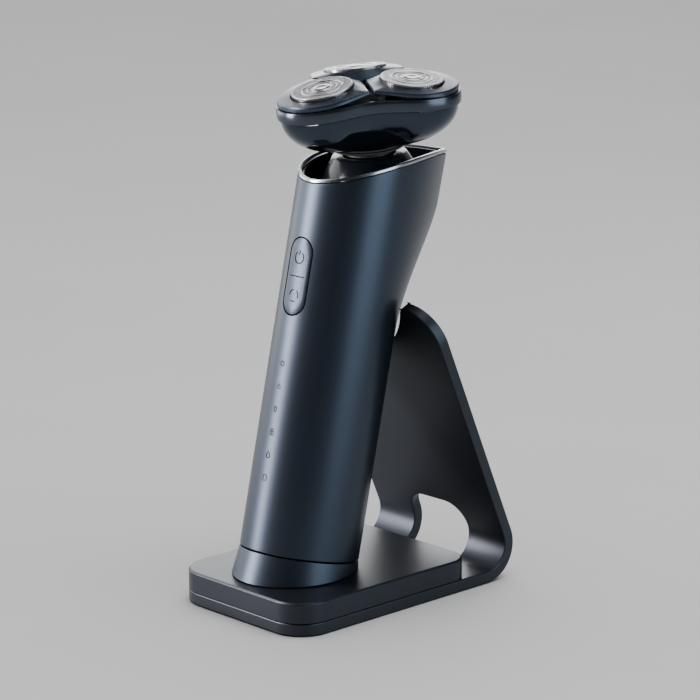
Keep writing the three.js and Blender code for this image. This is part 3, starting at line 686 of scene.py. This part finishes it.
def handle_sleeve(materials):
    sleeve = loft("sleeve", sleeve_rings(), materials["satin_navy_metal"], IN_HANDLE, looped=True)
    outline = pill(KEY_GAP)
    ahead, inside = -30, -12       # the tool runs from in front of the face to inside the sleeve
    tool_rings = [[(x, v, h) for x, h in outline] for v in (ahead, inside)]
    tool = loft("slot_tool", tool_rings, materials["satin_navy_metal"], IN_HANDLE)
    return weighted(apply_boolean(sleeve, tool))


def key_plate(materials):
    """A pill of the sleeve's own curve, with a soft edge and a slightly dished face."""
    soft, thick, hollow = 0.35, 1.15, 0.12
    levels = [(0.0, thick), (0.0, soft), (soft * 0.3, soft * 0.3), (soft, 0.0)]
    rings = []
    for inset, depth in levels:
        rings.append([(x, front_v(x) + depth, h) for x, h in pill(-inset)])
    for share in (0.8, 0.55, 0.3, 0.1):
        dish = hollow * (1 - share)
        loop = pill(-soft)
        rings.append([(x * share, front_v(x * share) + dish, KEY_H + (h - KEY_H) * share) for x, h in loop])
    back = []
    for share in (0.1, 0.5):
        loop = pill(0)
        back.append([(x * share, front_v(x * share) + thick, KEY_H + (h - KEY_H) * share) for x, h in loop])
    return loft("key", back + rings, materials["satin_navy_metal"], IN_HANDLE)


def rim_trim(materials):
    """The polished ring: a rounded bead that follows the rim."""
    steps = 8
    middle = WALL / 2
    rings = []
    for i in range(steps + 1):
        a = math.pi * i / steps
        rings.append(rim_ring(middle * (1 - math.sin(a)) * 0.75, middle * (1 - math.cos(a))))
    rings.append(rim_ring(TRIM, WALL))
    rings.append(rim_ring(TRIM, 0))
    return loft("rim_bead", rings, materials["bright_trim"], IN_HANDLE, looped=True)


def neck_level(radius, drop):
    """A circle round the neck's axis, this far under the gimbal centre, in the handle's axes."""
    to_handle = HANDLE_FROM_STAND @ IN_HEAD
    ring = []
    for angle in SECTION_ANGLES:
        a = angle - HEAD_YAW
        ring.append(tuple(to_handle @ Vector((radius * math.cos(a), radius * math.sin(a), PIVOT - drop))))
    return ring


def top_deck(materials):
    """The gloss deck: a ledge under the bead, a steep wall, a floor and a flared pedestal under the neck."""
    inset = WALL + DECK_GAP
    # A ledge step is (drop under the rim, further in). A pedestal step is (radius, drop under the gimbal).
    ledge = ((8, 0.0), (1.5, 0.0), (1.2, 0.25), (1.25, 0.6), (5.9, 0.9), (6.2, 1.2))
    pedestal = ((16.0, 8.8), (15.7, 8.5), (12.5, 2.9), (12.0, 2.6), (9.2, 2.6), (9.0, 2.8), (9.0, 9.4))
    rings = [rim_ring(drop, inset + further) for drop, further in ledge]
    rings += [neck_level(radius, drop) for radius, drop in pedestal]
    return loft("deck", rings, materials["deck_black"], IN_HANDLE, looped=True)


def ribbon(path, width, inset, closed=False):
    """A thin raised line on the sleeve's front, along (across, height) points. Gives points and faces."""
    count = len(path)
    lift, root = 0.035, 0.06
    points = []
    for i, here in enumerate(path):
        before = path[i - 1] if closed or i > 0 else here
        after = path[(i + 1) % count] if closed or i < count - 1 else here
        run = Vector(after) - Vector(before)
        side = Vector((-run.y, run.x)).normalized() * (width / 2)
        for sign, height in ((-1, -root), (1, -root), (1, lift), (-1, lift)):
            x, h = here[0] + side.x * sign, here[1] + side.y * sign
            points.append((x, front_v(x) + inset - height, h))
    faces = []
    for i in range(count if closed else count - 1):
        low, high = 4 * i, 4 * ((i + 1) % count)
        for k in range(4):
            m = (k + 1) % 4
            faces.append((low + k, low + m, high + m, high + k))
    if not closed:
        last = 4 * (count - 1)
        faces += [(3, 2, 1, 0), (last, last + 1, last + 2, last + 3)]
    return points, faces


def icon_piece(name, strokes, width, inset, material):
    points, faces = joined(ribbon(path, width, inset, closed) for path, closed in strokes)
    return new_piece(name, points, faces, material, IN_HANDLE)


def shifted(path, h):
    return [(x, y + h) for x, y in path]


def key_icons(materials):
    """A power mark above the middle line and a broken ring below it."""
    power_h, mode_h = KEY_H + 6.2, KEY_H - 6.4
    radius = 1.95
    ring = shifted(arc(0, 0, radius, 122, 418, 40), power_h)
    stem = [(0, power_h + 0.7), (0, power_h + 2.5)]
    middle = [(x, KEY_H) for x in (-3.2, -1, 1, 3.2)]
    spans = ((-20, 60), (100, 180), (240, 300))
    broken = [shifted(arc(0, 0, radius, start, end, 14), mode_h) for start, end in spans]
    strokes = [(path, False) for path in (ring, stem, middle, *broken)]
    return icon_piece("key_marks", strokes, KEY_MARK_WIDTH, KEY_MARK_INSET, materials["icon_print"])


def indicator_icons(materials):
    """Six small outline marks in a column: sun, bell, bead, lock, drop and cell."""
    sun = [((0.62 + 0.36 * (i % 2)) * math.cos(math.radians(30 * i)),
            (0.62 + 0.36 * (i % 2)) * math.sin(math.radians(30 * i))) for i in range(12)]
    bell = [(-0.8, -0.65), (0.8, -0.65), (0.5, 0.2), (0, 0.85), (-0.5, 0.2)]
    bead = [(0.55 * math.cos(a), 0.8 * math.sin(a)) for a in turns(18)]
    lock = [(-0.8, -1.05), (0.8, -1.05), (0.8, 0.15), (-0.8, 0.15)]
    shackle = [(0.55, 0.2)] + arc(0, 0.5, 0.55, 0, 180, 12) + [(-0.55, 0.2)]
    keyhole = [(-0.35, -0.45), (0.35, -0.45)]
    drop = [(0, 1.15)] + arc(0, -0.25, 0.8, 25, -205, 18)
    cell = [(-0.75, -1.0), (0.75, -1.0), (0.75, 0.75), (0.3, 0.75)]
    cell += [(0.3, 1.05), (-0.3, 1.05), (-0.3, 0.75), (-0.75, 0.75)]
    column = [
        [(sun, True)], [(bell, True)], [(bead, True)],
        [(lock, True), (shackle, False), (keyhole, False)], [(drop, True)], [(cell, True)],
    ]
    strokes = []
    for i, marks in enumerate(column):
        h = ICON_TOP_H - ICON_STEP * i
        strokes += [(shifted(path, h), closed) for path, closed in marks]
    return icon_piece("indicator_marks", strokes, INDICATOR_WIDTH, 0.0, materials["icon_print"])


# ---------- head ----------
def lobe_radius(angle):
    return HEAD_MEAN_R + HEAD_LOBE_R * math.cos(3 * (angle + math.pi / 2))


def between_lobes(angle):
    return (1 - math.cos(3 * (angle + math.pi / 2))) / 2


def head_ring(z, inset):
    """A three-lobed ring of the band, higher between the lobes."""
    ring = []
    for a in turns(RING):
        r = lobe_radius(a) - inset
        ring.append((r * math.cos(a), r * math.sin(a), z + LOBE_WAVE * between_lobes(a)))
    return ring


def head_band(materials):
    soft = 0.35
    low, high, belly = BAND_FOOT + soft, BAND_TOP - soft, 0.12
    rings = [head_ring(BAND_FOOT, soft), head_ring(BAND_FOOT + soft * 0.3, soft * 0.3), head_ring(low, 0)]
    rings += [head_ring(lerp(low, high, i / 4), -belly * math.sin(math.pi * i / 4)) for i in (1, 2, 3)]
    rings += [head_ring(high, 0), head_ring(BAND_TOP - soft * 0.3, soft * 0.3), head_ring(BAND_TOP, soft)]
    rings += [head_ring(BAND_TOP, BAND_WALL), head_ring(BAND_FOOT, BAND_WALL)]
    return loft("band", rings, materials["band_navy"], IN_HEAD, looped=True)


def bowl_ring(turn, inset):
    """One level of the bowl, with a scoop between each two lobes."""
    ring = []
    for a in turns(RING):
        hollow = between_lobes(a)
        reach = lobe_radius(a) - BOWL_INSET - NECK_R - inset
        scoop = BOWL_SCOOP * smoothstep(hollow, 0.34, 0.75) * math.sin(2 * turn) ** 2
        r = NECK_R + reach * math.cos(turn) - inset * 0.3 - scoop
        climb = LOBE_WAVE * hollow * math.cos(turn)
        z = BOWL_TOP + climb - (BOWL_DROP - inset) * math.sin(turn) + scoop * 0.5
        ring.append((r * math.cos(a), r * math.sin(a), z))
    return ring


def head_bowl(materials):
    steps, wall, mouth_r = 26, 1.3, 8.6
    angles = [math.radians(lerp(86, 0, i / steps)) for i in range(steps + 1)]
    outer = [bowl_ring(t, 0) for t in angles]
    inner = [bowl_ring(t, wall) for t in reversed(angles)]
    mouth_z = BOWL_TOP - BOWL_DROP
    rings = outer + inner + turned_rings([(mouth_r, mouth_z + wall), (mouth_r, mouth_z)], RING)
    return loft("bowl", rings, materials["bowl_black"], IN_HEAD, looped=True)


def pod_outline():
    """(x, y, share of the climb) round a pod, x outwards: a round outside and two sides along the gaps."""
    points = []
    steps = 72
    for i in range(steps + 1):
        a = lerp(-POD_ROUND, POD_ROUND, i / steps)
        x, y = POD_RADIUS + POD_R * math.cos(a), POD_R * math.sin(a)
        points.append((x, y, between_lobes(math.atan2(y, x) - math.pi / 2) ** 1.5))
    c, s = 0.5, math.sqrt(0.75)    # cosine and sine of 60 degrees, from the pod's middle to a gap
    corner = (POD_CORNER * c + POD_GAP * s, POD_CORNER * s - POD_GAP * c, 1.0)
    tip = (POD_GAP / s, 0.0, TIP_CLIMB)
    flank_steps, side_steps = 8, 16
    side = []
    for start, end, count in ((points[-1], corner, flank_steps), (corner, tip, side_steps)):
        for i in range(1, count + 1):
            side.append(tuple(Vector(start).lerp(Vector(end), i / count)))
    mirrored = [(x, -y, share) for x, y, share in reversed(side[:-1])]
    return points + side + mirrored


POD_OUTLINE = pod_outline()


def pod_face_z(px):
    return POD_TOP - (px - POD_RADIUS) * math.tan(POD_TILT)


def pod_edge(scale, lift, share):
    """The pod's outline at a height over its foot. share is how much of the climb it follows."""
    ring = []
    for x, y, climb in POD_OUTLINE:
        z = POD_FOOT + lift + POD_CLIMB * share * climb
        ring.append((POD_RADIUS + (x - POD_RADIUS) * scale, y * scale, z))
    return ring


def pod_rim(radius, drop):
    """The round rim of the top face, point for point with the outline."""
    ring = []
    for x, y, _ in POD_OUTLINE:
        rim = Vector((x - POD_RADIUS, y)).normalized() * radius
        ring.append((POD_RADIUS + rim.x, rim.y, pod_face_z(POD_RADIUS + rim.x) - drop))
    return ring


def in_pod(angle):
    return IN_HEAD @ Matrix.Rotation(angle, 4, "Z")


def on_disc(angle):
    lean = Matrix.Translation((POD_RADIUS, 0, 0)) @ Matrix.Rotation(POD_TILT, 4, "Y")
    return in_pod(angle) @ lean


def pod_shell(name, angle, materials):
    """A petal: a low skirt, a chamfered ridge, a broad bevel and a narrow rim round the foil's hole."""
    soft, chamfer, wall = 0.12, 0.35, 1.3
    hole_r, hole_depth = FOIL_R + 0.3, 1.5
    ridge, rim = pod_edge(1.0, POD_SKIRT, RIDGE_CLIMB), pod_rim(POD_FACE_R, 0.0)
    rings = [pod_edge(0.99, 0.0, 1.0), pod_edge(1.0, soft, 1.0)]
    rings += [pod_edge(1.0, POD_SKIRT - chamfer, RIDGE_CLIMB), between_rings(ridge, rim, 0.07)]
    rings += [between_rings(ridge, rim, share) for share in (0.1, 0.4, 0.7, 0.97)]
    rings += [rim, pod_rim(hole_r, 0.0), pod_rim(hole_r, hole_depth)]
    inner = between_rings(ridge, rim, 0.4)
    rings += [[(x, y, min(z, pod_face_z(x)) - wall) for x, y, z in inner], pod_edge(0.92, 0.0, 1.0)]
    return weighted(loft(name, rings, materials["pod_navy"], in_pod(angle), looped=True))


def bar_ring(count, inner, outer, fill, low, high):
    """Radial bars with slots between them. fill is the solid share at the middle radius."""
    points, faces = [], []
    for a in turns(count):
        width = fill * math.pi / count
        first = len(points)
        for r in (inner, outer):
            for side in (-width, width):
                points += [(r * math.cos(a + side), r * math.sin(a + side), z) for z in (low, high)]
        quads = ((0, 2, 3, 1), (4, 5, 7, 6), (0, 1, 5, 4), (2, 6, 7, 3), (1, 3, 7, 5), (0, 4, 6, 2))
        faces += [tuple(first + i for i in quad) for quad in quads]
    return points, faces


def lathe(profile, count=96):
    """Points and faces of a closed ring section turned round Z."""
    points = [p for ring in turned_rings(profile, count) for p in ring]
    return points, loft_faces(count, len(profile), True)


def slotted_foil(name, angle, materials):
    """The guard: a toothed edge, two rings of fine slots, raised lips and a domed centre cap."""
    thick = 0.28
    edge = [(FOIL_R - 0.75, -thick), (FOIL_R - 0.3, -thick), (FOIL_R - 0.22, -0.12), (FOIL_R - 0.4, 0.04),
            (FOIL_R - 0.75, 0.04)]
    base = [(FOIL_R - 0.5, -2.6), (FOIL_R, -2.6), (FOIL_R, -1.15), (FOIL_R - 0.5, -1.15)]

    def lip(r, half, rise):
        top = 0.02
        return [(r - half, -thick), (r + half, -thick), (r + half, top), (r + half * 0.5, rise),
                (r - half * 0.5, rise), (r - half, top)]

    cap = [(0.02, -thick), (2.9, -thick), (2.9, 0.12), (2.5, 0.32), (1.7, 0.38), (1.2, 0.26), (0.02, 0.26)]
    lips = ((6.75, 0.36, 0.16), (5.0, 0.24, 0.08), (3.3, 0.42, 0.16))
    bars = (
        (84, 7.05, FOIL_R - 0.7, 0.5, -thick, 0.0), (56, 5.2, 6.45, 0.48, -thick, -0.04),
        (36, 3.65, 4.8, 0.48, -thick, -0.04), (84, FOIL_R - 0.34, FOIL_R + 0.05, 0.42, -1.2, -0.1),
    )
    parts = [lathe(edge, 180), lathe(base, 180), lathe(cap)]
    parts += [lathe(lip(*shape)) for shape in lips]
    parts += [bar_ring(*shape) for shape in bars]
    points, faces = joined(parts)
    return new_piece(name, points, faces, materials["foil_steel"], on_disc(angle))


def neck_collar(materials):
    low, high = PIVOT + NECK_LOW, PIVOT + NECK_HIGH
    profile = [(8.4, low), (12.1, low), (12.4, low + 0.2), (12.4, low + 0.7)]
    profile += [(12.15, low + 0.95), (NECK_R, low + 1.0), (NECK_R, high), (8.4, high)]
    rings = turned_rings(profile, 128)
    return loft("neck_collar", rings, materials["gloss_black"], IN_HEAD, looped=True)


def neck_tube(materials):
    low, high = PIVOT - 9.2, PIVOT + NECK_HIGH
    profile = [(4.55, low), (5.6, low), (5.6, high - 0.3), (5.3, high), (4.85, high), (4.55, high - 0.3)]
    return loft("neck_tube", turned_rings(profile), materials["gloss_black"], IN_HEAD, looped=True)


# ---------- assembly ----------
def stands_for(piece, body, slot, *nodes):
    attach(piece, body)
    if nodes:
        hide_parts(*nodes)


def build_object(materials):
    stands_for(stand_plate(materials), "stand", "satin_navy_metal", "stand_plate")
    stands_for(charging_block(materials), "stand", "satin_navy_metal", "charging_block")
    stands_for(cradle_collar(materials), "stand", "satin_navy_metal", "cradle_collar")
    stands_for(handle_sleeve(materials), "handle", "satin_navy_metal", "handle_sleeve")
    stands_for(rim_trim(materials), "handle", "bright_trim", "rim_trim")
    stands_for(top_deck(materials), "handle", "gloss_black", "top_deck")
    stands_for(key_plate(materials), "key", "satin_navy_metal", "rocker_key")
    stands_for(key_icons(materials), "key", "black_plastic")
    stands_for(indicator_icons(materials), "handle", "black_plastic")
    stands_for(neck_tube(materials), "handle", "gloss_black", "neck_post")
    stands_for(neck_collar(materials), "neck", "gloss_black", "neck_ring")
    stands_for(head_bowl(materials), "hair_chamber", "gloss_black", "head_bowl")
    stands_for(head_band(materials), "cutter_holder", "satin_navy_metal", "head_band")
    for name, angle in zip(POD_NAMES, POD_ANGLES):
        body = f"{name}_pod_body"
        stands_for(pod_shell(f"{name}_petal", angle, materials), body, "satin_navy_metal", f"{name}_pod")
        stands_for(slotted_foil(f"{name}_guard", angle, materials), body, "foil_steel", f"{name}_foil")


def finish_cad_nodes(materials):
    """Every CAD node that still shows gets its slot's finish."""
    for part in frame["record"]["subparts"]:
        node = frame["nodes"][part["node"]]
        node.data.materials.clear()
        node.data.materials.append(materials[part["material_slot"]])


# ---------- floor, light and camera ----------
def studio_floor():
    """Pale paper that lies flat under the object and sweeps up far behind it."""
    away = Vector((-math.sin(CAMERA_AZIMUTH), math.cos(CAMERA_AZIMUTH), 0))
    across = Vector((away.y, -away.x, 0))
    half, near, flat, radius, wall, steps = 4.0, -4.0, 2.1, 0.9, 2.4, 24
    profile = [(near, 0.0), (flat, 0.0)]
    for i in range(1, steps + 1):
        a = math.radians(90 * i / steps)
        profile.append((flat + radius * math.sin(a), radius * (1 - math.cos(a))))
    profile.append((flat + radius, wall))
    points = []
    for d, z in profile:
        points += [tuple(away * d + across * side + Vector((0, 0, z))) for side in (-half, half)]
    faces = [(2 * i, 2 * i + 1, 2 * i + 3, 2 * i + 2) for i in range(len(profile) - 1)]
    mesh = bpy.data.meshes.new("floor")
    mesh.from_pydata(points, [], faces)
    mesh.polygons.foreach_set("use_smooth", [True] * len(mesh.polygons))
    floor = bpy.data.objects.new("floor", mesh)
    bpy.context.scene.collection.objects.link(floor)
    material, tree, shader = node_material("floor_paper", Roughness=0.7)
    vary_color(tree, shader, noise(tree, 6.0), (0.64, 0.64, 0.65), (0.67, 0.67, 0.68))
    mesh.materials.append(material)
    return floor


def lamp_targets(name, floor, state):
    """What a lamp shines on: the floor alone (INCLUDE) or everything but the floor (EXCLUDE)."""
    receivers = bpy.data.collections.new(name)
    receivers.objects.link(floor)
    receivers.collection_objects[0].light_linking.link_state = state
    return receivers


def area_light(name, place, aim, size, power, tint=(1, 1, 1), receivers=None):
    data = bpy.data.lights.new(name, "AREA")
    data.shape = "RECTANGLE"
    data.size, data.size_y = size
    data.energy = power
    data.color = tint
    lamp = bpy.data.objects.new(name, data)
    lamp.location = place
    lamp.rotation_euler = (Vector(aim) - Vector(place)).to_track_quat("-Z", "Y").to_euler()
    lamp.light_linking.receiver_collection = receivers
    bpy.context.scene.collection.objects.link(lamp)


def studio_light(floor):
    aim = (0, 0, 0.1)
    piece_only = lamp_targets("all_but_floor", floor, "EXCLUDE")
    floor_only = lamp_targets("floor_alone", floor, "INCLUDE")
    area_light("strip", (-0.46, -0.59, 0.30), aim, (0.22, 0.8), 24.0, (1.0, 0.93, 0.92), piece_only)
    area_light("right_panel", (0.72, 0.19, 0.30), aim, (0.5, 0.7), 5.2, (0.80, 0.90, 1.0), piece_only)
    area_light("left_fill", (-0.78, -0.16, 0.30), aim, (0.5, 0.8), 5.0, receivers=piece_only)
    area_light("back_left", (-1.40, 1.16, 0.57), aim, (1.3, 0.75), 15.0, receivers=piece_only)
    area_light("top_soft", (0.05, 0.2, 0.9), aim, (0.6, 0.6), 3.0)
    area_light("ceiling", (0, 0, 3.0), (0, 0, 0), (6.0, 6.0), 180.0, receivers=floor_only)
    world = bpy.data.worlds.new("studio")
    world.use_nodes = True
    backdrop = world.node_tree.nodes["Background"]
    backdrop.inputs["Color"].default_value = (0.55, 0.58, 0.62, 1)
    backdrop.inputs["Strength"].default_value = 0.05
    bpy.context.scene.world = world


def studio_camera():
    azimuth, elevation = CAMERA_AZIMUTH, CAMERA_ELEVATION
    level = math.cos(elevation)
    back = Vector((math.sin(azimuth) * level, -math.cos(azimuth) * level, math.sin(elevation)))
    data = bpy.data.cameras.new("camera")
    data.sensor_width = SENSOR_WIDTH
    data.lens = CAMERA_LENS
    camera = bpy.data.objects.new("camera", data)
    camera.location = (CAMERA_TARGET + back * CAMERA_DISTANCE) * MM
    camera.rotation_euler = (-back).to_track_quat("-Z", "Y").to_euler()
    bpy.context.scene.collection.objects.link(camera)
    bpy.context.scene.camera = camera


studio_camera()
finishes = make_materials()
finish_cad_nodes(finishes)
build_object(finishes)
studio_light(studio_floor())
